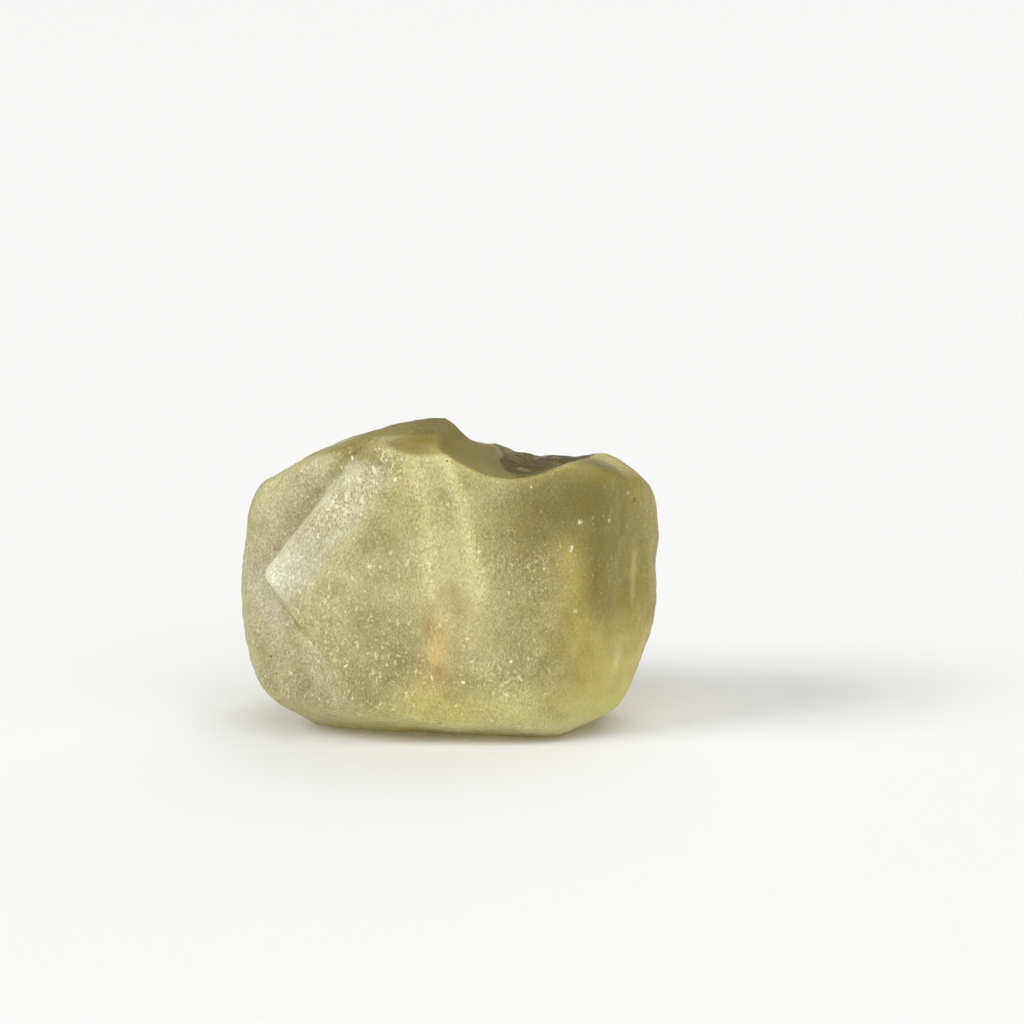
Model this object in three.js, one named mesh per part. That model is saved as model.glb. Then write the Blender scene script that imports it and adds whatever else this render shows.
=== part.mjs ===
// Desert glass specimen: one natural lump of pale yellow silica glass, about the size of a
// walnut, broken out of a larger piece and then worn by wind-blown sand.
// Millimetres, +Z up. The broad front face looks along -Y and the stone stands on its flat
// underside, with the origin in the middle of the ground it covers.
//
// The surface is worked out as one distance for every direction out of a point inside the
// stone. Flat faces, hollow breaks and worn grooves each give a distance of their own, and the
// nearest one wins, with the edge between two of them rounded over.

import * as THREE from 'three';
import { mergeVertices } from 'three/addons/utils/BufferGeometryUtils.js';

// Driving dimensions, each measured outwards from the middle of the stone.
const FRONT = 11.7;
const BACK = 11.8;
const LEFT = 19.9;
const RIGHT = 19.9;
const TOP = 14.6;
const BASE = 13.4;

// The point that the rays start from: low and to the right, where it sees every wall of the
// trough, the step and the chips.
const CORE = new THREE.Vector3(5, 0, -3);

// Wear on the edges between faces, round the hollows and along the step: a higher number is a
// crisper edge.
const FACE_CRISPNESS = 30;
const RIM_CRISPNESS = 45;
const STEP_CRISPNESS = 70;

// Steps along one edge of the icosahedron that the stone is modelled from.
const DETAIL = 21;

// The direction that leans turn degrees from the front (+ to the right, 180 the back) and
// rises rise degrees above level.
function direction(turn, rise) {
  const level = THREE.MathUtils.degToRad(turn);
  const climb = THREE.MathUtils.degToRad(rise);
  const reach = Math.cos(climb);
  return new THREE.Vector3(Math.sin(level) * reach, -Math.cos(level) * reach, Math.sin(climb));
}

// A flat face, square to its direction and out millimetres from the middle of the stone.
function face(name, turn, rise, out) {
  const normal = direction(turn, rise);
  return { name, normal, out: out - normal.dot(CORE) };
}

// A hollow with the shape of an ellipsoid: half sizes across, along and down, turned clockwise
// as seen from above, and tilted so that its far end rises.
function hollow(name, centre, halfSizes, turn = 0, tilt = 0) {
  const yaw = THREE.MathUtils.degToRad(turn);
  const pitch = THREE.MathUtils.degToRad(tilt);
  const across = new THREE.Vector3(Math.cos(yaw), -Math.sin(yaw), 0);
  const along = new THREE.Vector3(
    Math.sin(yaw) * Math.cos(pitch), Math.cos(yaw) * Math.cos(pitch), Math.sin(pitch));
  const down = new THREE.Vector3().crossVectors(across, along);
  const axes = [across, along, down].map((axis, i) => axis.divideScalar(halfSizes[i]));
  const offset = new THREE.Vector3(...centre).sub(CORE);
  return { name, axes, offset: new THREE.Vector3(...axes.map((axis) => axis.dot(offset))) };
}

// A shallow conchoidal scar: part of a ball, out from its deepest point along a direction.
function scar(name, deepest, turn, rise, radius) {
  const centre = direction(turn, rise).multiplyScalar(radius).add(new THREE.Vector3(...deepest));
  return hollow(name, centre.toArray(), [radius, radius, radius]);
}

// The faces that bound the whole lump.
const lumpFaces = [
  face('front', -1, 2, FRONT),
  face('front, left shoulder', -30, 6, FRONT + 2.5),
  face('front, right', 28, 1, FRONT + 2.2),
  face('front right corner, inner', 54, 3, FRONT + 5),
  face('front right corner, outer', 74, 4, RIGHT - 0.9),
  face('right end', 91, 3, RIGHT),
  face('right end, upper corner', 96, 38, RIGHT + 0.7),
  face('hump, outer side', 92, 60, TOP + 2.8),
  face('hump, crown', 100, 76, TOP),
  face('right end, lower half', 86, -22, RIGHT - 0.6),
  face('right end, lower bevel', 66, -60, BASE + 4.6),
  face('front, lower bevel', -10, -66, BASE + 1.7),
  face('front left, lower bevel', -32, -56, BASE + 3.6),
  face('underside', 0, -90, BASE + 1.2),
  face('left end, lower bevel', -75, -50, LEFT),
  face('left end, lower half', -88, -12, LEFT + 0.2),
  face('left end', -91, 4, LEFT),
  face('left end, upper half', -95, 20, LEFT + 0.4),
  face('left end, upper corner', -98, 58, TOP + 2.9),
  face('top, left', -112, 72, TOP + 0.6),
  face('top', 100, 87, TOP + 0.4),
  face('top, back bevel', 180, 50, TOP - 0.3),
  face('back', 180, 3, BACK),
  face('back right corner', 140, 6, BACK + 3.2),
  face('back left corner', -140, 5, BACK + 3.6),
  face('back, lower bevel', 180, -50, BACK + 3.2),
  face('back left, lower bevel', -110, -48, LEFT - 1.9),
  face('back right, lower bevel', 110, -45, RIGHT - 1.9),
];

// The plate is the thicker part of the front. It ends at the left in a pointed step: a worn
// shoulder, and two walls that meet in a tip.
const shoulder = face('step, worn shoulder', -46, 20, 16.5);
const stepWalls = [
  face('step, upper wall', -92, 37.6, 14.5),
  face('step, lower wall', -81, -35.5, 14),
];

// Left of the step the front has flaked away along this scar.
const stepScar = scar('scar left of the step', [-13.5, -5.15, 7.5], -30, 12, 60);

const hollows = [
  hollow('trough across the top', [8.4, 0, 20.3], [9.2, 40, 9.9], 17, -4),
  hollow('fresh chip at the back of the trough', [8.4, 8.6, 15], [5.4, 7, 4.9]),
  hollow('old chip that widens the trough', [3.4, 7, 17.9], [4.8, 14, 6.4], 0, -4),
  scar('worn break in the front edge of the top', [-2.2, -9.6, 14.1], 0, 72, 14),
  scar('back, middle', [1.8, 10.4, 1.9], 170, 10, 34),
  scar('back, low', [-2.1, 10.1, -6.9], -168, -34, 26),
  scar('back, left', [-10.6, 8.3, 3.9], -128, 16, 30),
  scar('back, right', [11.8, 7.4, -3.5], 122, -14, 28),
  scar('notch in the right end', [19.3, -0.7, 1], 88, 3, 6),
  scar('nick in the upper left corner', [-13.8, 0.7, 10.8], -93, 38, 4),
];

// Upright grooves that the wind has worn in the front: middle, half width, half height, depth
// and how far the groove leans for each millimetre of height.
const grooves = [
  { x: 0.2, z: 2, halfWidth: 1.6, halfHeight: 9, depth: 0.3, lean: -0.12 },
  { x: 7.2, z: 0, halfWidth: 2.8, halfHeight: 12, depth: 0.35, lean: 0 },
  { x: 15.6, z: 2, halfWidth: 1.6, halfHeight: 9, depth: 0.5, lean: 0 },
  { x: -7, z: -2, halfWidth: 3.2, halfHeight: 10, depth: 0.2, lean: 0 },
];

// A closeness is one over a distance, so the nearest surface has the largest. The largest of
// several is rounded over with a power mean; SCALE keeps the powers near one.
const SCALE = 14;
function nearest(closenesses, crispness) {
  const total = closenesses.reduce((sum, c) => sum + (SCALE * c) ** crispness, 0);
  return total ** (1 / crispness) / SCALE;
}

// Closeness of each of several flat faces along a ray from the core, or 0 for one behind it.
function facesCloseness(ray, faces) {
  return faces.map(({ normal, out }) => Math.max(ray.dot(normal) / out, 0));
}

// Closeness of the near side of a hollow, or 0 where the ray misses it.
function hollowCloseness(ray, { axes, offset }) {
  const q = new THREE.Vector3(...axes.map((axis) => axis.dot(ray)));
  const a = q.dot(q);
  const b = q.dot(offset);
  const c = offset.dot(offset) - 1;
  const root = b * b - a * c;
  return root > 0 && b > 0 ? a / (b - Math.sqrt(root)) : 0;
}

// Closeness of the plate's front, of the plate with the walls of its step, and of the thinner
// lump that is left beside it.
function stepSides(ray) {
  const lump = facesCloseness(ray, lumpFaces);
  const thick = nearest([...lump, ...facesCloseness(ray, [shoulder])], FACE_CRISPNESS);
  const plate = nearest([thick, ...facesCloseness(ray, stepWalls)], STEP_CRISPNESS);
  const scarred = [nearest(lump, FACE_CRISPNESS), hollowCloseness(ray, stepScar)];
  return { thick, plate, flake: nearest(scarred, RIM_CRISPNESS) };
}

// How deep the grooves are at a point of the front. They fade out round the corners.
function grooveDepth(point) {
  const onFront = THREE.MathUtils.clamp(-point.y / 4, 0, 1);
  return grooves.reduce((sum, g) => {
    const up = (point.z - g.z) / g.halfHeight;
    const side = (point.x - g.x - g.lean * (point.z - g.z)) / g.halfWidth;
    return sum + onFront * g.depth * Math.exp(-(side ** 2) - up ** 4);
  }, 0);
}

// Slight waviness of the worn skin.
function waviness({ x, y, z }) {
  return 0.05 * Math.sin(0.9 * x + 0.5 * z + 1) + 0.05 * Math.sin(0.6 * x + 0.7 * y - 0.8 * z);
}

// The point of the stone's surface along a ray, with the underside cut off flat.
function surfacePoint(ray) {
  const { plate, flake } = stepSides(ray);
  const body = Math.min(plate, flake);
  const all = [body, ...hollows.map((h) => hollowCloseness(ray, h))];
  const smooth = 1 / nearest(all, RIM_CRISPNESS);
  const point = CORE.clone().addScaledVector(ray, smooth);
  const worn = smooth - grooveDepth(point) + waviness(point);
  point.copy(CORE).addScaledVector(ray, worn);
  if (point.z < -BASE) {
    point.copy(CORE).addScaledVector(ray, (-BASE - CORE.z) / ray.z);
    point.z = -BASE;
  }
  return point;
}

// Lines that the edges of the facets follow: the crease at the foot of the step, its upper edge,
// and the rims of the trough and of the breaks round it. Each is where its number passes through 0.
const sharpHollows = hollows.slice(0, 4);
const lines = [
  (ray) => {
    const { plate, flake } = stepSides(ray);
    return Math.log(plate / flake);
  },
  (ray) => {
    const { thick, plate, flake } = stepSides(ray);
    const walls = Math.max(...facesCloseness(ray, stepWalls), 0.2 * thick);
    return plate < 0.985 * flake ? Math.log(thick / walls) : 1;
  },
  ...sharpHollows.map((cut) => (ray) => {
    const { plate, flake } = stepSides(ray);
    const others = sharpHollows.filter((h) => h !== cut).map((h) => hollowCloseness(ray, h));
    return Math.log((hollowCloseness(ray, cut) + 1e-3) / Math.max(Math.min(plate, flake), ...others));
  }),
];

// Slides a ray that passes close to a line sideways on to it.
const REACH = 0.5 / (DETAIL + 1);
const PROBE = 0.001;
const LEAST_SLOPE = 0.2;
function slideTo(line, ray) {
  const pole = Math.abs(ray.z) < 0.9 ? new THREE.Vector3(0, 0, 1) : new THREE.Vector3(1, 0, 0);
  const side = new THREE.Vector3().crossVectors(ray, pole).normalize();
  const up = new THREE.Vector3().crossVectors(ray, side);
  const [slopeSide, slopeUp] = [side, up].map((way) => {
    const ahead = line(ray.clone().addScaledVector(way, PROBE).normalize());
    const behind = line(ray.clone().addScaledVector(way, -PROBE).normalize());
    return (ahead - behind) / (2 * PROBE);
  });
  const slope = Math.hypot(slopeSide, slopeUp);
  const gap = line(ray) / slope;
  if (slope < LEAST_SLOPE || Math.abs(gap) > REACH) return;
  ray.addScaledVector(side, (-gap * slopeSide) / slope);
  ray.addScaledVector(up, (-gap * slopeUp) / slope);
  ray.normalize();
}

// The whole stone: every corner of a fine icosahedron is moved out to the surface.
function stoneGeometry() {
  const sphere = new THREE.IcosahedronGeometry(1, DETAIL);
  sphere.deleteAttribute('normal');
  sphere.deleteAttribute('uv');
  const geometry = mergeVertices(sphere);
  const position = geometry.attributes.position;
  const points = [];
  for (let i = 0; i < position.count; i += 1) {
    const ray = new THREE.Vector3().fromBufferAttribute(position, i).normalize();
    lines.forEach((line) => slideTo(line, ray));
    lines.forEach((line) => slideTo(line, ray));
    points.push(surfacePoint(ray));
  }
  const box = new THREE.Box3().setFromPoints(points);
  const middle = box.getCenter(new THREE.Vector3());
  points.forEach((point, i) => {
    position.setXYZ(i, point.x - middle.x, point.y - middle.y, point.z - box.min.z);
  });
  geometry.computeVertexNormals();
  return geometry;
}

const glass = new THREE.MeshStandardMaterial({ color: 0xc3b784, roughness: 0.5, metalness: 0 });
const stone = new THREE.Mesh(stoneGeometry(), glass);
stone.name = 'desert_glass';

const specimen = new THREE.Group();
specimen.add(stone);

export default specimen;
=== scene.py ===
import bpy
import numpy as np
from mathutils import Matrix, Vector


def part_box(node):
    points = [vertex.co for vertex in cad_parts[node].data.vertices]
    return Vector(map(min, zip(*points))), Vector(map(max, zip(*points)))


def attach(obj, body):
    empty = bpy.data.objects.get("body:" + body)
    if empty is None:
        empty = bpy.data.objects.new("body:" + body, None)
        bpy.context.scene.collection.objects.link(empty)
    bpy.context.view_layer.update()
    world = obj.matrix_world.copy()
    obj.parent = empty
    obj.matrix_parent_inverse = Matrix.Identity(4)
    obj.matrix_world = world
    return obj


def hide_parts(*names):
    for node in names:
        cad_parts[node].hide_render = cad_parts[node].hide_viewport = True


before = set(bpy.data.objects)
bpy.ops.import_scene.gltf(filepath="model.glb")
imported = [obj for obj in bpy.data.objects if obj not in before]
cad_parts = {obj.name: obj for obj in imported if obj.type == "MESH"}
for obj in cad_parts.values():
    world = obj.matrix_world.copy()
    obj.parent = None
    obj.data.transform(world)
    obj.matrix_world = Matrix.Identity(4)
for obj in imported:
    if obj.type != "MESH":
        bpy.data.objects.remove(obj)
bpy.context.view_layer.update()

# ---------------------------------------------------------------------------------------------
# The stone: one natural lump of pale yellow desert glass, broken from a larger piece and worn
# by blown sand. Its skin is frosted and pitted, with a stepped break at the left of the front
# and a trough across the top. It is shaped here as one closed skin around a point inside it.
# ---------------------------------------------------------------------------------------------
MM = 0.001
# How far the flat faces lie from the stone's middle, in millimetres; the point inside it that
# every ray starts from; and how crisp the edges are, more for a higher number.
FRONT, BACK, LEFT, RIGHT, TOP, BASE = 11.7, 11.8, 19.9, 19.9, 14.6, 13.4
CORE = np.array([5.0, 0.0, -3.0])
FACE_CRISPNESS, RIM_CRISPNESS, STEP_CRISPNESS = 30, 45, 70
USUAL_DISTANCE = 14


def direction(turn, rise):
    """Unit vector leaning turn degrees from the front, + to the right, and rising rise degrees."""
    level, climb = np.radians(turn), np.radians(rise)
    reach = np.cos(climb)
    return np.array([np.sin(level) * reach, -np.cos(level) * reach, np.sin(climb)])


def face(turn, rise, out):
    """A flat face out millimetres from the stone's middle, as its normal and its way out of the core."""
    normal = direction(turn, rise)
    return normal, out - normal @ CORE


def hollow(centre, half_sizes, turn=0, tilt=0):
    """An ellipsoid as three axes, each divided by its half size, and the core's offset along them."""
    yaw, pitch = np.radians(turn), np.radians(tilt)
    across = np.array([np.cos(yaw), -np.sin(yaw), 0])
    along = np.array([np.sin(yaw) * np.cos(pitch), np.cos(yaw) * np.cos(pitch), np.sin(pitch)])
    axes = np.stack([across, along, np.cross(across, along)]) / np.array(half_sizes)[:, None]
    return axes, axes @ (np.array(centre) - CORE)


def scar(deepest, turn, rise, radius):
    """A shallow shell-like break: part of a ball, from its deepest point out along its direction."""
    return hollow(np.array(deepest) + direction(turn, rise) * radius, [radius] * 3)


lump_faces = [
    face(-1, 2, FRONT),  # front
    face(-30, 6, FRONT + 2.5),  # front, left shoulder
    face(28, 1, FRONT + 2.2),  # front, right
    face(54, 3, FRONT + 5),  # front right corner, inner
    face(74, 4, RIGHT - 0.9),  # front right corner, outer
    face(91, 3, RIGHT),  # right end
    face(96, 38, RIGHT + 0.7),  # right end, upper corner
    face(92, 60, TOP + 2.8),  # hump, outer side
    face(100, 76, TOP),  # hump, crown
    face(86, -22, RIGHT - 0.6),  # right end, lower half
    face(66, -60, BASE + 4.6),  # right end, lower bevel
    face(-10, -66, BASE + 1.7),  # front, lower bevel
    face(-32, -56, BASE + 3.6),  # front left, lower bevel
    face(0, -90, BASE + 1.2),  # underside
    face(-75, -50, LEFT),  # left end, lower bevel
    face(-88, -12, LEFT + 0.2),  # left end, lower half
    face(-91, 4, LEFT),  # left end
    face(-95, 20, LEFT + 0.4),  # left end, upper half
    face(-98, 58, TOP + 2.9),  # left end, upper corner
    face(-112, 72, TOP + 0.6),  # top, left
    face(100, 87, TOP + 0.4),  # top
    face(180, 50, TOP - 0.3),  # top, back bevel
    face(180, 3, BACK),  # back
    face(140, 6, BACK + 3.2),  # back right corner
    face(-140, 5, BACK + 3.6),  # back left corner
    face(180, -50, BACK + 3.2),  # back, lower bevel
    face(-110, -48, LEFT - 1.9),  # back left, lower bevel
    face(110, -45, RIGHT - 1.9),  # back right, lower bevel
]
shoulder = face(-46, 20, 16.5)
step_walls = [
    face(-92, 37.6, 14.5),  # upper wall
    face(-81, -35.5, 14.0),  # lower wall
]
step_scar = scar([-13.5, -5.15, 7.5], -30, 12, 60)
hollows = [
    hollow([8.4, 0, 20.3], [9.2, 40, 9.9], 17, -4),  # trough across the top
    hollow([8.4, 8.6, 15.0], [5.4, 7.0, 4.9]),  # fresh chip at the back of the trough
    hollow([3.4, 7, 17.9], [4.8, 14, 6.4], 0, -4),  # old chip that widens the trough at the back
    scar([-2.2, -9.6, 14.1], 0, 72, 14),  # worn break in the top's front edge, left of the trough
    scar([1.8, 10.4, 1.9], 170, 10, 34),  # back, middle
    scar([-2.1, 10.1, -6.9], -168, -34, 26),  # back, low
    scar([-10.6, 8.3, 3.9], -128, 16, 30),  # back, left
    scar([11.8, 7.4, -3.5], 122, -14, 28),  # back, right
    scar([19.3, -0.7, 1.0], 88, 3, 6),  # notch in the right end
    scar([-13.8, 0.7, 10.8], -93, 38, 4),  # nick in the upper left corner
]
# Upright grooves worn down the front: middle x and z, half width, half height, depth, lean.
grooves = [
    (0.2, 2, 1.6, 9, 0.3, -0.12),
    (7.2, 0, 2.8, 12, 0.35, 0),
    (15.6, 2, 1.6, 9, 0.5, 0),
    (-7, -2, 3.2, 10, 0.2, 0),
]


def nearest(closenesses, crispness):
    """Rounded-over largest of several closenesses: the root of the sum of their powers."""
    powers = sum((USUAL_DISTANCE * c) ** crispness for c in closenesses)
    return powers ** (1 / crispness) / USUAL_DISTANCE


def faces_closeness(rays, faces):
    """One over the distance to each of a body's flat faces: ray along normal, over its way out."""
    return [np.maximum(rays @ normal / out, 0) for normal, out in faces]


def hollow_closeness(rays, axes, offset):
    """One over the distance to an ellipsoid's near side, from the quadratic for a ray and a ball."""
    scaled = rays @ axes.T
    squares, towards, outside = (scaled * scaled).sum(1), scaled @ offset, offset @ offset - 1
    root = towards * towards - squares * outside
    hit = (root > 0) & (towards > 0)
    return np.where(hit, squares / np.where(hit, towards - np.sqrt(np.maximum(root, 0)), 1), 0)


def step_sides(rays):
    """Closeness of the thick plate with its pointed step, and of the flaked lump beside it."""
    lump = nearest(faces_closeness(rays, lump_faces), FACE_CRISPNESS)
    thick = nearest(faces_closeness(rays, lump_faces + [shoulder]), FACE_CRISPNESS)
    plate = nearest([thick] + faces_closeness(rays, step_walls), STEP_CRISPNESS)
    return plate, nearest([lump, hollow_closeness(rays, *step_scar)], RIM_CRISPNESS)


def crease_gap(rays):
    """0 along the foot of the step: log of the plate's closeness over the flaked lump's."""
    plate, flake = step_sides(rays)
    return np.log(plate / flake)


def edge_gap(rays):
    """0 along the step's upper edge: log of the plate's front over the nearer wall; 1 off the plate."""
    thick = nearest(faces_closeness(rays, lump_faces + [shoulder]), FACE_CRISPNESS)
    least_wall = 0.2 * thick
    walls = np.maximum.reduce([*faces_closeness(rays, step_walls), least_wall])
    well_on_plate = crease_gap(rays) < -0.015
    return np.where(well_on_plate, np.log(thick / walls), 1)


def slide_to(line_gap, rays, reach, probe=0.001, least_slope=0.2, tiny=1e-9):
    """Moves rays close to a line on to it: gap over slope, along two directions across the ray."""
    def gap(near_rays):
        return line_gap(near_rays / np.linalg.norm(near_rays, axis=1, keepdims=True))
    pole = np.where(np.abs(rays[:, 2:]) < 0.9, [[0.0, 0, 1]], [[1.0, 0, 0]])
    side = np.cross(rays, pole)
    side /= np.linalg.norm(side, axis=1, keepdims=True)
    up = np.cross(rays, side)
    slope_side = (gap(rays + probe * side) - gap(rays - probe * side)) / (2 * probe)
    slope_up = (gap(rays + probe * up) - gap(rays - probe * up)) / (2 * probe)
    slope = np.hypot(slope_side, slope_up)
    steepness = np.maximum(slope, tiny)
    move = gap(rays) / steepness
    near = (slope > least_slope) & (np.abs(move) < reach)
    way = (slope_side[:, None] * side + slope_up[:, None] * up) / steepness[:, None]
    moved = rays - np.where(near, move, 0)[:, None] * way
    return moved / np.linalg.norm(moved, axis=1, keepdims=True)


def hashed(cells, seed):
    """A repeatable random number from 0 to 1 for each whole-number cell, by mixing its indices."""
    across, along, up = (cells[..., i].astype(np.uint64) for i in range(3))
    low_bits, last_bits, steps = np.uint64(0xFFFFFFFF), np.uint64(0xFFFFFF), float(0x1000000)
    mix = across * np.uint64(73856093) ^ along * np.uint64(19349663) ^ up * np.uint64(83492791)
    mix = (mix + np.uint64(seed * 2654435761)) & low_bits
    mix = ((mix ^ (mix >> np.uint64(15))) * np.uint64(0x2C1B3C6D)) & low_bits
    mix = ((mix ^ (mix >> np.uint64(12))) * np.uint64(0x297A2D39)) & low_bits
    return ((mix ^ (mix >> np.uint64(15))) & last_bits) / steps


def pits(points, cell, share, seed):
    """Round pits, one to a cell at most, of random place and size: (1 - (distance/size)^2)^2 deep."""
    home = np.floor(points / cell).astype(np.int64)
    depth = np.zeros(len(points))
    for dx in (-1, 0, 1):
        for dy in (-1, 0, 1):
            for dz in (-1, 0, 1):
                near = home + [dx, dy, dz]
                middle = np.stack([hashed(near, seed + i) for i in range(3)], 1)
                size = (0.2 + 0.65 * hashed(near, seed + 3) ** 3) * cell
                here = hashed(near, seed + 4) < share
                away = np.linalg.norm(points - (near + middle) * cell, axis=1)
                dent = np.maximum(1 - (away / size) ** 2, 0) ** 2 * size / cell
                depth = np.maximum(depth, np.where(here, dent, 0))
    return depth


def clouds(points, size, seed):
    """Soft random patches about size across: corner numbers of askew cells, blended by smooth steps."""
    askew = points @ np.stack([direction(35, 20), direction(-50, 40), direction(150, 45)]).T / size
    cell = np.floor(askew).astype(np.int64)
    t = askew - cell
    t = t * t * (3 - 2 * t)
    corners = np.ndindex(2, 2, 2)
    return sum(np.where(corner, t, 1 - t).prod(1) * hashed(cell + corner, seed) for corner in corners)


def ramp(value, start, end):
    """A smooth step from 0 at start to 1 at end: 3 t squared less 2 t cubed."""
    t = np.clip((value - start) / (end - start), 0, 1)
    return t * t * (3 - 2 * t)


# Wear on the skin, in millimetres: depth, size of cell, share of cells and seed of each layer
# of pits, and height, size and seed of each layer of roughness.
pit_layers = [(0.2, 2.1, 0.35, 11), (0.12, 0.95, 0.5, 23)]
rough_layers = [(0.2, 2.6, 31), (0.1, 1.1, 33)]
FINE_HEIGHT, FINE_SIZE = 0.06, 0.5
WAVE_HEIGHT = 0.05
# The clear break: where the blow fell, and the height and spacing of the ripples round it.
BLOW = np.array([12, 12, 11])
RIPPLE_HEIGHT, RIPPLES_A_MM = 0.07, 4.2


def worn_skin(rays):
    """Distance to the skin: nearest face or hollow, less grooves and pits, plus waviness and ripples."""
    plate, flake = step_sides(rays)
    cuts = [hollow_closeness(rays, *h) for h in hollows]
    body = np.minimum(plate, flake)
    smooth = 1 / nearest([body] + cuts, RIM_CRISPNESS)
    x, y, z = (CORE + rays * smooth[:, None]).T
    on_front = np.clip(-y / 4, 0, 1)
    worn = smooth + WAVE_HEIGHT * np.sin(0.9 * x + 0.5 * z + 1)
    worn += WAVE_HEIGHT * np.sin(0.6 * x + 0.7 * y - 0.8 * z)
    for x0, z0, half_width, half_height, depth, lean in grooves:
        side = (x - x0 - lean * (z - z0)) / half_width
        worn -= on_front * depth * np.exp(-(side**2) - ((z - z0) / half_height) ** 4)
    at = CORE + rays * worn[:, None]
    smoother = 1 - 0.6 * on_front * np.clip((x - 8) / 6, 0, 1)
    worn -= smoother * sum(depth * pits(at, *layer) for depth, *layer in pit_layers)
    worn += smoother * sum(height * (clouds(at, *layer) - 0.5) for height, *layer in rough_layers)
    worn += FINE_HEIGHT * (clouds(at, FINE_SIZE, 35) - 0.5)
    trough_cut, chip_cut = cuts[:2]
    clear = ramp(np.maximum(trough_cut, chip_cut) / body, 1, 1.05) * ramp(x + 0.05 * y, 4.2, 5.4)
    from_blow = np.linalg.norm(at - BLOW, axis=1) + 1.2 * clouds(at, 3.5, 61)
    worn += RIPPLE_HEIGHT * clear * np.sin(from_blow * RIPPLES_A_MM)
    under = CORE[2] + rays[:, 2] * worn < -BASE
    return np.where(under, (-BASE - CORE[2]) / np.where(under, rays[:, 2], -1), worn)


def cube_sphere(n):
    """Six n by n grids on a cube, each point pushed out to the ball: tan of two even angles and 1."""
    tangent = np.tan(np.linspace(-np.pi / 4, np.pi / 4, n + 1))
    a, b = (grid.ravel() for grid in np.meshgrid(tangent, tangent, indexing="ij"))
    one = np.ones_like(a)
    sides = [(one, a, b), (-one, b, a), (b, one, a), (a, -one, b), (a, b, one), (b, a, -one)]
    points = np.concatenate([np.stack(side, 1) for side in sides])
    cell = (np.arange(n)[:, None] * (n + 1) + np.arange(n)).ravel()
    quads = np.stack([cell, cell + n + 1, cell + n + 2, cell + 1], 1)
    quads = np.concatenate([quads + i * (n + 1) ** 2 for i in range(6)])
    first, index = np.unique(np.round(points, 6), axis=0, return_index=True, return_inverse=True)[1:]
    rays = points[first]
    return rays / np.linalg.norm(rays, axis=1, keepdims=True), index.reshape(-1)[quads]


def parted(points, quads, gap):
    """Two triangles a quad, cut corner to corner the way that leaves no sliver and keeps to the crease."""
    def cut(i, j, k, l):
        halves = quads[:, [[i, j, k], [k, l, i]]]
        a, b, c = (points[halves[..., corner]] for corner in range(3))
        return halves, np.linalg.norm(np.cross(b - a, c - a), axis=2).min(1)
    (one, one_area), (other, other_area) = cut(0, 1, 2, 3), cut(1, 2, 3, 0)
    closer = gap[quads[:, 1]] + gap[quads[:, 3]] < gap[quads[:, 0]] + gap[quads[:, 2]]
    needed_gain = np.where(closer, 0.4, 2.5)
    better = other_area > one_area * needed_gain
    return np.where(better[:, None, None], other, one).reshape(-1, 3)


# Cells along each side of the cube, and how much of a cell a point may slide to reach an edge.
GRID = 127
REACH = 0.4
rays, quads = cube_sphere(GRID)
for line in (edge_gap, crease_gap, crease_gap):
    rays = slide_to(line, rays, REACH * np.pi / 2 / GRID)
stone_points = CORE + rays * worn_skin(rays)[:, None]
triangles = parted(stone_points, quads, np.abs(crease_gap(rays)))
low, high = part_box("desert_glass")
middle = (stone_points.min(0) + stone_points.max(0)) / 2
stand = np.array([(low.x + high.x) / 2, (low.y + high.y) / 2, low.z])
to_frame = stand - np.array([middle[0], middle[1], -BASE]) * MM

mesh = bpy.data.meshes.new("desert_glass_skin")
mesh.from_pydata((stone_points * MM + to_frame).tolist(), [], triangles.tolist())
mesh.update()
mesh.shade_smooth()
stone = bpy.data.objects.new("desert_glass_skin", mesh)
bpy.context.scene.collection.objects.link(stone)


# The stone's colour: a clear straw ground, with washes where the glass is cloudier, thicker,
# stained or worn, and painted shade, painted highlights and painted glow. Places are x, y and z
# in millimetres from the stone's middle.
x, y, z = stone_points.T


def swell(value, middle, half):
    """A soft hump: e to the minus square of the distance from its middle in half widths."""
    return np.exp(-(((value - middle) / half) ** 2))


def spot(x0, z0, half_x, half_z, lean=0.0):
    """A soft oval on the front around (x0, z0), its long axis leaning lean millimetres in x per z."""
    return swell(x - lean * (z - z0), x0, half_x) * swell(z, z0, half_z)


def veil(*path):
    """A fold in the glass along (x, z, half width) points from its foot up, faded at both ends."""
    places, heights, halves = np.array(path).T
    foot, head = heights[0], heights[-1]
    inside = ramp(z, foot - 0.8, foot + 0.8) * (1 - ramp(z, head - 1.5, head + 1))
    return inside * swell(x, np.interp(z, heights, places), np.interp(z, heights, halves))


def wash(under, amount, tint):
    """Lays a tint over the tone under it, by an amount from 0 to 1 at each point."""
    return under + np.clip(amount, 0, 1)[:, None] * (np.array(tint) - under)


PEARL = (0.93, 0.95, 0.74)
STRAW = (0.81, 0.76, 0.43)
CREAM = (1.00, 0.92, 0.54)
GLOW_BUTTER = (1.00, 0.91, 0.38)
GLOW = (1.00, 0.955, 0.56)
SHEEN_SILVER = (0.92, 0.96, 0.81)
FROST_AND_SHEEN = (0.97, 1.00, 0.88)
HONEY = (0.83, 0.72, 0.20)
TAN = (0.46, 0.38, 0.12)
BRASS = (0.45, 0.36, 0.0)
OLIVE = (0.19, 0.145, 0.0)
SHADED_AMBER = (0.36, 0.27, 0.02)
SHADED_SMOKE = (0.17, 0.135, 0.02)
RUST = (1.00, 0.79, 0.36)
UMBER = (0.60, 0.36, 0.08)
SOOT_AND_SHADE = (0.05, 0.03, 0.012)

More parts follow.
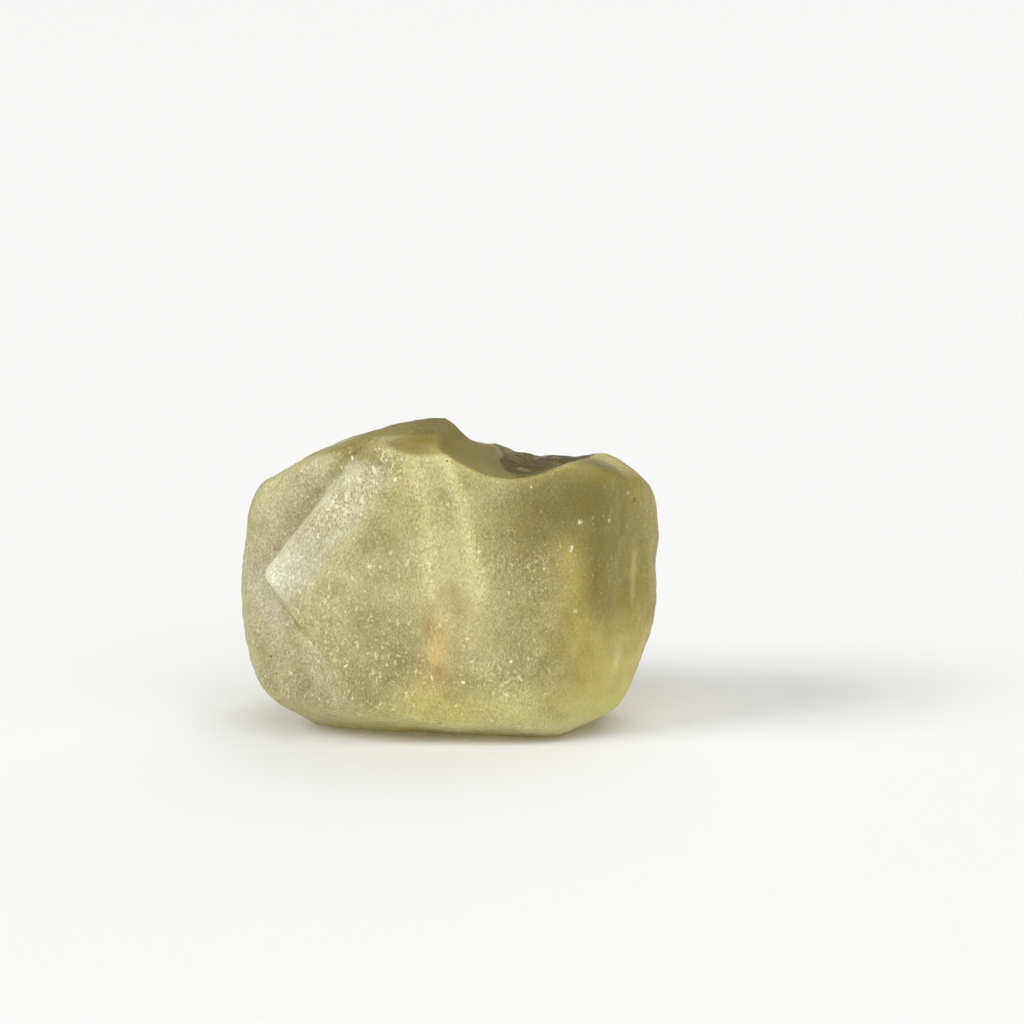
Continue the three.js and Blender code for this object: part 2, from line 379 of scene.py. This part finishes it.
# Where things are, each from 0 to 1.
front = ramp(-y, 1, 6)
left = ramp(-x, 4, 7) * front
beside_step = ramp(crease_gap(rays), -0.002, 0.006) * left
into_plate = (x + 17.4) * 0.79 - (z - 1.4) * 0.61
on_plate = left * (1 - beside_step)
# The band along the step's edge and its tip, where a painted sheen is laid on below.
sheen_band = on_plate * ramp(into_plate, -1.0, -0.4) * (1 - ramp(into_plate, 2.2, 5.0)) * ramp(z, -1, 2)
sheen_tip = on_plate * swell(np.hypot(x + 16.2, z - 1.0), 0, 2.7)
folds_and_glints = front * np.maximum.reduce([
    0.8 * veil((-2.0, 0.2, 0.5), (-2.0, 2.2, 0.65), (-2.2, 6.6, 1.0), (-2.7, 11, 0.9), (-4, 13.6, 0.8)),
    veil((2.4, 0.2, 0.6), (2.0, 3.4, 1.0), (1.2, 7.4, 0.7), (0.6, 9.6, 0.8), (-0.8, 13.9, 0.8)),
    # The last two are painted highlights, thin glints down the right end.
    0.8 * veil((16.7, -1.3, 0.25), (16.9, 3.6, 0.25)),
    0.6 * veil((15.1, -7.0, 0.45), (15.5, -4.5, 0.3))])
# The foot: the lower front and lower right, where the tone is painted lighter as painted glow.
right_foot = ramp(-z - 0.4 * (x - 14), 0, 7) * ramp(x, 9, 14)
foot = front * ramp(x, -11, -3) * np.maximum(ramp(-z, 5.5, 10), right_foot)
stain = front * spot(-1.4, -4.6, 1.15, 3.2, 0.1)
body = np.minimum(*step_sides(rays))
*trough_cuts, top_break = [hollow_closeness(rays, *h) / body for h in hollows[:4]]
trough = ramp(np.maximum.reduce(trough_cuts), 0.985, 1.03)
split = x + 0.05 * y + 1.6 * (clouds(stone_points, 2.5, 57) - 0.5)
chip = trough * ramp(split, 4.4, 5.2) * (0.45 + 0.55 * ramp(y, -8, 0))
# The top's front strip, painted brown below as painted shade.
crown = ramp(z, 12.2, 13.8) * ramp(y, -9.5, -6.5)
tall, taller = [1, 1, 0.16], [1, 1, 0.1]
streaks = clouds(stone_points * tall, 1.9, 41) * 0.6 + clouds(stone_points * taller, 4.5, 43) * 0.4
mottle = clouds(stone_points, 3.1, 53) * 0.5 + clouds(stone_points, 1.5, 55) * 0.5
splinters = clouds(stone_points * [1, 0.5, 0.5], 0.5, 63) * 0.65 + clouds(stone_points, 1.6, 65) * 0.35
flecks = clouds(stone_points, 2.4, 67) * 0.55 + clouds(stone_points, 1.2, 69) * 0.45
drift = clouds(stone_points, 6, 45) * 0.6 + clouds(stone_points, 2.6, 47) * 0.4

# The ground, then the washes over the whole stone.
tone = np.tile(STRAW, (len(x), 1))
tone = wash(tone, ramp(drift, 0.35, 0.65) * 0.3, PEARL)
tone = wash(tone, (1 - front) * ramp(streaks, 0.45, 0.75) * 0.6, CREAM)
tone = wash(tone, (1 - front) * ramp(0.5 - streaks, 0, 0.25) * 0.5, TAN)
tone = wash(tone, ramp(x, 4, 15) * (0.95 - 0.35 * (1 - front)), HONEY)
tone = wash(tone, front * spot(0.6, 0.5, 3.5, 10) * 0.9, CREAM)
tone = wash(tone, ramp(mottle, 0.5, 0.75) * 0.35, CREAM)
tone = wash(tone, ramp(0.5 - mottle, 0, 0.25) * 0.3, BRASS)
# The flaked side and the plate, left of the middle.
tone = wash(tone, front * spot(-12, -9, 6, 4) * 0.35, TAN)
tone = wash(tone, front * spot(-6.6, 8.5, 1.8, 4.5) * 0.4, TAN)
tone = wash(tone, beside_step * (0.3 + 0.65 * ramp(z, -8, 0)), PEARL)
# Painted shade: a darker brass band on the flaked side beside the foot of the step, upper part.
tone = wash(tone, beside_step * swell(into_plate, -0.5, 1.2) * ramp(z, 0, 3) * 0.55, BRASS)
tone = wash(tone, left * veil((-13.4, -9.0, 0.8), (-13.9, -5.5, 0.9), (-15.4, -1.5, 0.5)) * 0.35, OLIVE)
tone = wash(tone, left * spot(-16.5, -4.5, 3.0, 4.5) * 0.3, BRASS)
tone = wash(tone, left * veil((-15.8, -8.0, 0.8), (-16.4, -4.5, 0.7), (-17.0, -1.0, 0.5)) * 0.4, FROST_AND_SHEEN)
# The thicker glass at the right, the foot painted butter-yellow as painted glow, and small paler and
# darker patches.
tone = wash(tone, front * spot(7.2, 7.5, 3.2, 6.0) * 0.95, TAN)
tone = wash(tone, front * spot(13.8, 3.0, 2.4, 8.0) * 0.85, OLIVE)
tone = wash(tone, front * spot(12.0, 8.8, 5.2, 3.8) * 0.88, OLIVE)
tone = wash(tone, ramp(x, 15.5, 18) * ramp(z, -5, 0) * 0.42, BRASS)
tone = wash(tone, front * spot(6.5, -5, 2.4, 3) * 0.25, TAN)
tone = wash(tone, front * spot(-5.2, -4.2, 2.4, 2.6) * 0.36, BRASS)
tone = wash(tone, front * spot(-12.5, -6.5, 2.4, 3.0) * 0.35, PEARL)
# Painted glow: the foot lightened to butter-yellow, as though light shone through from below.
tone = wash(tone, foot * (0.74 + 0.15 * ramp(x, 9, 13)), GLOW_BUTTER)
tone = wash(tone, front * spot(-1.0, -9.3, 3.5, 1.6) * 0.3, BRASS)
tone = wash(tone, front * spot(-12.0, 10.6, 0.9, 1.2) * 0.5, PEARL)
tone = wash(tone, front * spot(-10.0, 12.6, 0.9, 0.9) * 0.3, BRASS)
# Painted light: the bottom edge, facing down, painted paler cream as if lit from below.
tone = wash(tone, ramp(-z, 10.8, 12.5) * ramp(-y, 0, 4) * ramp(x, -8, 0), CREAM)
# The ridge at the right, the pale folds and two painted highlights, and the rusty stain with its two
# darker cores.
ridge = veil((12.8, -9, 1.5), (12.0, -4, 1.3), (11.2, 0.5, 1.0), (10.8, 5, 0.8))
tone = wash(tone, front * ridge * 0.7, HONEY)
tone = wash(tone, front * spot(0.4, 1.2, 0.8, 1.6) * 0.3, TAN)
tone = wash(tone, folds_and_glints * 0.8, GLOW)
tone = wash(tone, front * (0.1 * spot(-2.1, 1.4, 0.6, 1.8) + 0.9 * spot(2.1, 2.2, 0.85, 2.4)), GLOW)
tone = wash(tone, stain * 0.95, RUST)
tone = wash(tone, front * spot(-2.2, -2.2, 0.6, 0.75) * 0.65, UMBER)
tone = wash(tone, front * spot(-1.2, -6.6, 0.6, 0.8) * 0.5, UMBER)
# The band and tip of the step, painted silver and white as a painted sheen; the peak above it,
# painted brown as painted shade; and the line along its foot, painted dark as painted shade.
tone = wash(tone, sheen_band * 0.8, SHEEN_SILVER)
tone = wash(tone, sheen_tip, FROST_AND_SHEEN)
# Painted shade: the top of the plate above the step darkened to tan.
tone = wash(tone, front * ramp(z, 11.8, 13.2) * ramp(-x, 5.2, 6.9) * 0.9, TAN)
# Painted shade: a thin dark olive line in the crease at the foot of the step.
tone = wash(tone, left * ramp(-x, 11, 13) * swell(crease_gap(rays), 0, 0.0025) * 0.35, OLIVE)
# The top, the break in its front edge and the trough, painted brown and amber as painted shade,
# and the clear break, painted dark as painted shade with painted glints on its splinters and edges.
tone = wash(tone, crown * (0.65 + 0.6 * drift), TAN)
tone = wash(tone, np.maximum(0.6 * crown, ramp(top_break, 0.98, 1.02)) * (0.5 + 0.7 * mottle), SHADED_AMBER)
tone = wash(tone, trough, SHADED_AMBER)
tone = wash(tone, trough * ramp(mottle, 0.45, 0.75) * 0.35, TAN)
tone = wash(tone, np.maximum(crown, trough) * spot(-1.2, 14.6, 2.6, 1.9) * 0.8, OLIVE)
# Painted shade: the clear break darkened smoky, darkest between its splinters, which carry painted glints.
tone = wash(tone, chip, SHADED_SMOKE)
tone = wash(tone, chip * ramp(splinters, 0.64, 0.78) * 0.35, PEARL)
tone = wash(tone, chip * ramp(0.4 - splinters, 0, 0.2) * 0.6, SOOT_AND_SHADE)
# Painted highlights along the edges of the clear break.
break_edge = (swell(split, 4.3, 0.22) + 0.6 * swell(split, 5.4, 0.2)) * ramp(y, -2, 3)
tone = wash(tone, trough * break_edge * 0.3, PEARL)
tone = wash(tone, swell(z - 0.42 * (x + 16), 11.8, 0.6) * ramp(-x, 6, 8) * 0.5, RUST)
# Soft flecks that lighten and darken all of it, most in the blue and least in the folds and painted
# highlights.
FLECK_STRENGTH = (0.40, 0.43, 0.60)
flecked = (flecks - 0.5) * (1 - 0.8 * folds_and_glints)
tone = tone * (1 + flecked[:, None] * FLECK_STRENGTH)

# How strongly the grain shows, how frosted the skin is, and how thick the crumbs lie.
right_front = ramp(x, 8, 14) * front
gritty = 0.92 + 0.1 * sheen_band + 0.3 * spot(7, 3, 4, 8)
gritty -= 0.25 * foot + 0.35 * right_front + 0.2 * front * spot(0, 3, 4, 7) + 0.25 * stain
frosted = 1 + 0.5 * stain + 0.3 * sheen_band + sheen_tip + 0.8 * folds_and_glints + 0.7 * foot
frosted -= 0.65 * right_front + 0.4 * trough + 0.3 * chip
crumbs = front * (
    spot(-9.3, 9.3, 1.5, 3.2, 1.0) + 0.8 * spot(7.0, 3.2, 3.2, 1.7) + 0.7 * spot(-7.2, 3.3, 0.8, 0.6)
    + 0.5 * spot(-5.2, -6.0, 1.8, 2.4) + 0.5 * spot(5.2, -6.8, 2.6, 1.8) + 0.35 * spot(-11, -4, 4, 6))
crumbs += (0.6 - 0.45 * front) * ramp(clouds(stone_points, 4, 51), 0.5, 0.9)
swept = ramp(x, 8, 11) * front
crumbs *= 1 - swept
crumbs -= 0.5 * front * spot(7, 9, 4, 3) + ramp(top_break, 0.97, 1.0) + 0.3 * swept + trough
crumbs = np.clip(crumbs, -1, 1)
for name, values in {"gritty": gritty, "frosted": frosted, "crumbs": crumbs, "chipped": chip}.items():
    field = mesh.attributes.new(name, "FLOAT", "POINT")
    field.data.foreach_set("value", values.astype(np.float32))
field = mesh.attributes.new("tone", "FLOAT_COLOR", "POINT")
opaque_tone = np.column_stack([np.clip(tone, 0, 1), np.ones(len(x))])
field.data.foreach_set("color", opaque_tone.astype(np.float32).ravel())

glass = bpy.data.materials.new("frosted desert glass")
glass.use_nodes = True
nodes, links = glass.node_tree.nodes, glass.node_tree.links
skin = nodes["Principled BSDF"]


def join(output, entry):
    """Links an output to an entry, or sets the entry where a plain value is given."""
    if isinstance(output, bpy.types.NodeSocket):
        links.new(output, entry)
    else:
        entry.default_value = output


def painted(name, output="Fac"):
    """One of the fields or tones worked out above, as it lies on the skin."""
    node = nodes.new("ShaderNodeAttribute")
    node.attribute_name = name
    return node.outputs[output]


def maths(operation, a, b=0.0, c=0.0, clamp=False):
    """One sum on up to three outputs or plain values."""
    node = nodes.new("ShaderNodeMath")
    node.operation, node.use_clamp = operation, clamp
    for entry, value in zip(node.inputs, (a, b, c)):
        join(value, entry)
    return node.outputs[0]


def mixed(factor, a, b, way="MIX"):
    """Colour b laid over colour a, by a factor from 0 to 1."""
    node = nodes.new("ShaderNodeMix")
    node.data_type, node.blend_type, node.clamp_result = "RGBA", way, True
    factor_entry, colour_a, colour_b, colour_out = 0, 6, 7, 2
    join(factor, node.inputs[factor_entry])
    join(a, node.inputs[colour_a])
    join(b, node.inputs[colour_b])
    return node.outputs[colour_out]


def between(value, low, high, to_low=0.0, to_high=1.0):
    """A value carried evenly from the range low to high on to another, and held at its ends."""
    node = nodes.new("ShaderNodeMapRange")
    for entry, given in zip(node.inputs, (value, low, high, to_low, to_high)):
        join(given, entry)
    return node.outputs[0]


def dots(*places):
    """Small crisp marks on the front, each given as x, z and radius in millimetres."""
    marks = 0.0
    skip_back = 99
    for x0, z0, radius in places:
        nearby = stone_points[np.argmin(np.hypot(x - x0, z - z0) + skip_back * (y > 0))]
        node = nodes.new("ShaderNodeVectorMath")
        node.operation = "DISTANCE"
        links.new(nodes.new("ShaderNodeTexCoord").outputs["Object"], node.inputs[0])
        node.inputs[1].default_value = nearby * MM + to_frame
        far = maths("MULTIPLY_ADD", fine, 3 * radius * MM, node.outputs["Value"])
        marks = maths("MAXIMUM", marks, between(far, 2.4 * radius * MM, 1.9 * radius * MM))
    return marks


def grain(size_mm, detail):
    """Fine irregular grain with features about size_mm across, a little longer upright."""
    upright = 0.65
    where = nodes.new("ShaderNodeMapping")
    where.inputs["Scale"].default_value = (1, 1, upright)
    links.new(nodes.new("ShaderNodeTexCoord").outputs["Object"], where.inputs["Vector"])
    node = nodes.new("ShaderNodeTexNoise")
    links.new(where.outputs[0], node.inputs["Vector"])
    node.inputs["Scale"].default_value = 1000 / size_mm
    node.inputs["Detail"].default_value = detail
    node.inputs["Roughness"].default_value = 0.6
    return node.outputs["Fac"]


# Grain at three sizes, crumbs where the middle one peaks, and small curls along the lines
# where a fourth one crosses its middle, each with a shadow beside it.
fine = grain(0.16, 1)
crumbly = grain(0.32, 1)
coarse = grain(0.9, 2)
edge = maths("MULTIPLY_ADD", painted("crumbs"), -0.12, 0.65)
# The crumbs: pale grit, partly painted highlight where its relief would catch the light.
crumb = between(crumbly, edge, maths("ADD", edge, 0.07))
crumb = maths("MULTIPLY", crumb, between(coarse, 0.3, 0.7, 0.25, 0.7))
loops = maths("SUBTRACT", grain(0.55, 0), 0.5)
often = maths("MULTIPLY_ADD", painted("crumbs"), 0.5, 0.35, clamp=True)
curl = maths("MULTIPLY", between(maths("ABSOLUTE", loops), 0.035, 0.01), between(fine, 0.42, 0.6))
shadow = between(maths("ABSOLUTE", maths("ADD", loops, 0.07)), 0.035, 0.01)
# Small painted glints, and single dark specks.
glint_dots = dots(
    (11.6, 7.0, 0.26), (14.4, 6.6, 0.22), (10.9, 4.7, 0.24), (10.7, 4.3, 0.18), (11.3, -1.2, 0.26),
    (2.4, 4.6, 0.2), (-5.1, 11.4, 0.24), (-6.5, 3.2, 0.18), (-7.4, 3.3, 0.16), (16.2, 8.8, 0.24),
    (-13.9, 11.6, 0.35), (-13.5, 11.0, 0.25), (-9.0, 12.6, 0.28), (1.0, -7.4, 0.2), (5.4, -5.5, 0.2))
dark = dots(
    (16.9, 8.0, 0.28), (16.6, 8.5, 0.16), (-1.1, -11.2, 0.22), (-16.6, -5.7, 0.12),
    (-16.0, -7.3, 0.12), (4.1, 11.9, 0.24), (-0.5, 13.0, 0.12))

# The tone, darkened by the grain, with painted shade in the pits, the curls, crumbs, painted glints and
# specks laid over it.
PLAIN = (1, 1, 1, 1)
GRAIN_SHADE, PATCH_SHADE = (0.64, 0.62, 0.50, 1), (0.72, 0.70, 0.60, 1)
CURL_TONE, CRUMB_TONE = (1, 0.98, 0.78, 1), (1, 0.98, 0.74, 1)
shade = mixed(between(fine, 0.33, 0.67), GRAIN_SHADE, PLAIN)
patches = mixed(between(coarse, 0.3, 0.7), PATCH_SHADE, PLAIN)
shade = mixed(maths("MULTIPLY_ADD", painted("crumbs"), 0.5, 0.5), shade, patches, "MULTIPLY")
look = mixed(painted("gritty"), painted("tone", "Color"), shade, "MULTIPLY")
# Painted shade in the pits beside the crumbs.
pit_shade = maths("MULTIPLY", between(crumbly, 0.42, 0.32), painted("crumbs"))
look = mixed(maths("MULTIPLY", pit_shade, 0.5), look, (*OLIVE, 1))
look = mixed(maths("MULTIPLY", maths("MULTIPLY", shadow, often), 0.3), look, (*OLIVE, 1))
look = mixed(maths("MULTIPLY", maths("MULTIPLY", curl, often), 0.5), look, CURL_TONE)
look = mixed(maths("MAXIMUM", crumb, maths("MULTIPLY", glint_dots, 0.8)), look, CRUMB_TONE)
look = mixed(maths("MULTIPLY", dark, 0.85), look, (*SOOT_AND_SHADE, 1))
links.new(look, skin.inputs["Base Color"])

# Natural silica glass: frosted by sand and glossier in the clear break, see-through where no
# crumb, painted glint or speck lies on it, and milky under the skin.
matt = maths("MULTIPLY_ADD", painted("frosted"), 0.25, 0.25)
matt = maths("MULTIPLY", matt, maths("MULTIPLY_ADD", painted("chipped"), -0.6, 1.0))
links.new(matt, skin.inputs["Roughness"])
marked = maths("MAXIMUM", maths("MAXIMUM", crumb, glint_dots), dark)
clear = maths("MULTIPLY_ADD", painted("frosted"), -0.25, 0.88)
clear = maths("MULTIPLY_ADD", marked, -0.4, clear, clamp=True)
links.new(clear, skin.inputs["Transmission Weight"])
skin.inputs["IOR"].default_value = 1.46
skin.inputs["Subsurface Weight"].default_value = 1.0
skin.inputs["Subsurface Radius"].default_value = (1.0, 0.9, 0.5)
skin.inputs["Subsurface Scale"].default_value = 3 * MM

relief = nodes.new("ShaderNodeBump")
relief.inputs["Distance"].default_value = 0.1 * MM
links.new(maths("MULTIPLY_ADD", coarse, 1.5, crumbly), relief.inputs["Height"])
join(maths("MULTIPLY_ADD", painted("frosted"), 0.6, 0.2), relief.inputs["Strength"])
links.new(relief.outputs["Normal"], skin.inputs["Normal"])

tint = nodes.new("ShaderNodeVolumeAbsorption")
tint.inputs["Color"].default_value = (0.96, 0.90, 0.50, 1)
tint.inputs["Density"].default_value = 40
links.new(tint.outputs["Volume"], nodes["Material Output"].inputs["Volume"])
mesh.materials.append(glass)

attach(stone, "root")
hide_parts("desert_glass")

# ---------------------------------------------------------------------------------------------
# The table top that the stone stands on: one wide, pale, matt sheet of paper, flat and level.
# It is the floor of the picture and no part of the stone.
# ---------------------------------------------------------------------------------------------
HALF_TABLE = 4.0
table_corners = [(HALF_TABLE * a, HALF_TABLE * b, 0) for a, b in ((-1, -1), (1, -1), (1, 1), (-1, 1))]
table_mesh = bpy.data.meshes.new("table_top")
table_mesh.from_pydata(table_corners, [], [(0, 1, 2, 3)])
table = bpy.data.objects.new("table_top", table_mesh)
bpy.context.scene.collection.objects.link(table)
paper = bpy.data.materials.new("pale paper")
paper.use_nodes = True
paper_skin = paper.node_tree.nodes["Principled BSDF"]
paper_skin.inputs["Base Color"].default_value = (0.70, 0.70, 0.69, 1)
paper_skin.inputs["Roughness"].default_value = 0.8
table_mesh.materials.append(paper)

# ---------------------------------------------------------------------------------------------
# Studio light: a soft key from the upper left, a wide lamp behind that shines through the
# glass, a wider fill from the front right, and an even pale surround.
# ---------------------------------------------------------------------------------------------
centre = Vector((0, 0, BASE * MM))


def soft_light(name, turn, rise, spread, strength, mirrored=True):
    """Light from one way, as wide as spread degrees, the same all over the table."""
    lamp = bpy.data.lights.new(name, "SUN")
    lamp.angle, lamp.energy = np.radians(spread), strength
    holder = bpy.data.objects.new(name, lamp)
    holder.location = centre + Vector(direction(turn, rise)) * 0.5
    holder.rotation_euler = (centre - holder.location).to_track_quat("-Z", "Y").to_euler()
    holder.visible_glossy = mirrored
    bpy.context.scene.collection.objects.link(holder)


soft_light("key", -72, 34, 30, 2.4)
soft_light("rear", 160, 48, 60, 1.2, mirrored=False)
soft_light("fill", 25, 45, 90, 2.15, mirrored=False)

world = bpy.data.worlds.new("pale surround")
world.use_nodes = True
surround = world.node_tree.nodes["Background"]
surround.inputs["Color"].default_value = (0.9, 0.92, 0.93, 1)
surround.inputs["Strength"].default_value = 0.22
bpy.context.scene.world = world
bpy.context.scene.view_settings.view_transform = "Standard"

# The camera: a long lens that looks down at a shallow angle and shows the stone in the lower
# left of a square picture.
AWAY, RISE, ACROSS_PICTURE, SENSOR_MM = 0.300, 12, 0.0963, 36
RIGHT_OF_STONE, ABOVE_STONE = 0.00573, 0.0060
back = Vector(direction(0, RISE))
aim = centre + Vector((RIGHT_OF_STONE, 0, 0)) + back.cross(Vector((1, 0, 0))) * ABOVE_STONE
camera = bpy.data.cameras.new("camera")
camera.sensor_fit, camera.sensor_width = "HORIZONTAL", SENSOR_MM
camera.lens = SENSOR_MM * AWAY / ACROSS_PICTURE
viewer = bpy.data.objects.new("camera", camera)
viewer.location = centre + back * AWAY
viewer.rotation_euler = (aim - viewer.location).to_track_quat("-Z", "Y").to_euler()
bpy.context.scene.collection.objects.link(viewer)
bpy.context.scene.camera = viewer

bpy.context.view_layer.update()
